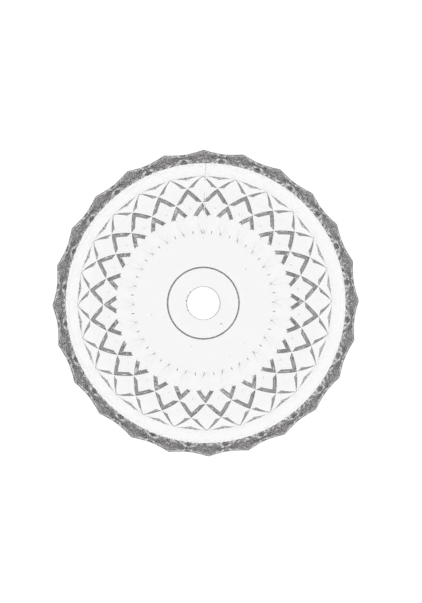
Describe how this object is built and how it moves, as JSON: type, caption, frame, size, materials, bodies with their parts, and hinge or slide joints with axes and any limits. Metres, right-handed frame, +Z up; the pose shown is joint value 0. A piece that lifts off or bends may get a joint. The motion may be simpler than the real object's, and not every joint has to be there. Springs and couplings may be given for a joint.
{
  "type": "glass flower frog dish",
  "caption": "Clear pressed-glass dish with a scalloped rim, a diamond-pattern wall and one drilled hole in its base, to hold or pass a stem or rod.",
  "frame": {"origin": "centre of the underside, on the dish's axis, in the plane of the foot ring", "axes": "+Z up along the dish's axis towards the rim, +X through the point of one scallop"},
  "size_m": [0.1, 0.1, 0.025],
  "materials": {
    "clear_glass": "fire-polished, clear and colourless"
  },
  "bodies": {
    "root": {"drilled_base": "clear_glass", "foot_ring": "clear_glass", "lower_flutes": "clear_glass", "diamond_row_1": "clear_glass", "diamond_row_2": "clear_glass", "diamond_row_3": "clear_glass", "diamond_row_4": "clear_glass", "fluted_band": "clear_glass", "scalloped_rim": "clear_glass"}
  },
  "joints": []
}
